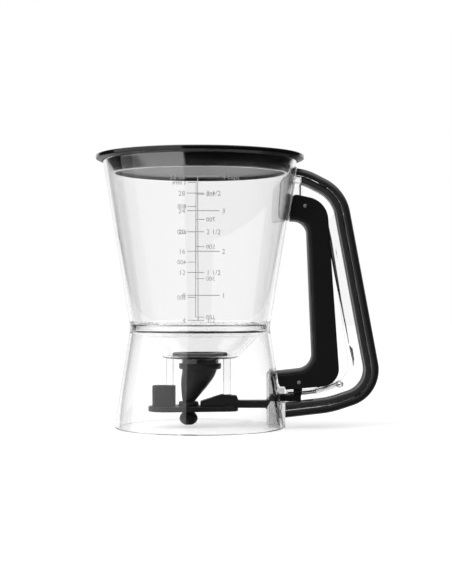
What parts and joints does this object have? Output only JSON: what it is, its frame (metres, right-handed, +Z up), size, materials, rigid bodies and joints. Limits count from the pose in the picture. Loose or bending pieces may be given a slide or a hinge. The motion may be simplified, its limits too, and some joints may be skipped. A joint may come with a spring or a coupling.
{
  "type": "batter dispenser",
  "caption": "Clear hourglass batter jug with a press-in black lid, a funnel floor with a soft pinch nozzle, a squeeze trigger that slides the nozzle open, and a bow handle.",
  "frame": {"origin": "on the jug's axis, in the plane that the skirt's foot stands on", "axes": "+Z up along the jug's axis, +X towards the bow handle, +Y away from the graduated front"},
  "size_m": [0.1948, 0.1434, 0.1876],
  "materials": {
    "clear_plastic": "clear, polished",
    "silicone": "soft satin",
    "soft_grip": "soft satin",
    "charcoal_plastic": "fine matt",
    "black_plastic": "satin",
    "gloss_black": "polished",
    "steel": "plain"
  },
  "bodies": {
    "vessel": {"cup": "clear_plastic", "skirt": "clear_plastic", "funnel_bowl": "clear_plastic", "guide_post_left": "clear_plastic", "guide_post_right": "clear_plastic", "nozzle": "silicone", "handle_frame": "clear_plastic", "palm_grip": "soft_grip", "cover_front": "charcoal_plastic", "cover_back": "charcoal_plastic", "pivot_pin": "steel", "return_spring": "steel"},
    "trigger": {"trigger_body": "black_plastic", "trigger_skin": "soft_grip", "link_pin": "steel"},
    "slider": {"slider_arm": "black_plastic"},
    "lid": {"lid_cap": "gloss_black"}
  },
  "joints": [
    {"name": "trigger_pivot", "type": "hinge", "parent": "vessel", "child": "trigger", "pos_m": [0.072, 0, 0.1521], "axis": [0, -1, 0], "range_deg": [0, 3.75], "stiffness_Nm_per_rad": 2, "springref_deg": -8.59, "deforming": ["return_spring"]},
    {"name": "slider_slide", "type": "slide", "parent": "vessel", "child": "slider", "axis": [1, 0, 0], "range_m": [0, 0.0079], "deforming": ["nozzle"]},
    {"name": "lid_lift", "type": "slide", "parent": "vessel", "child": "lid", "axis": [0, 0, 1], "range_m": [0, 0.04]}
  ],
  "couplings": [
    {"joint": "slider_slide", "follows": "trigger_pivot", "m_per_rad": 0.1207}
  ]
}
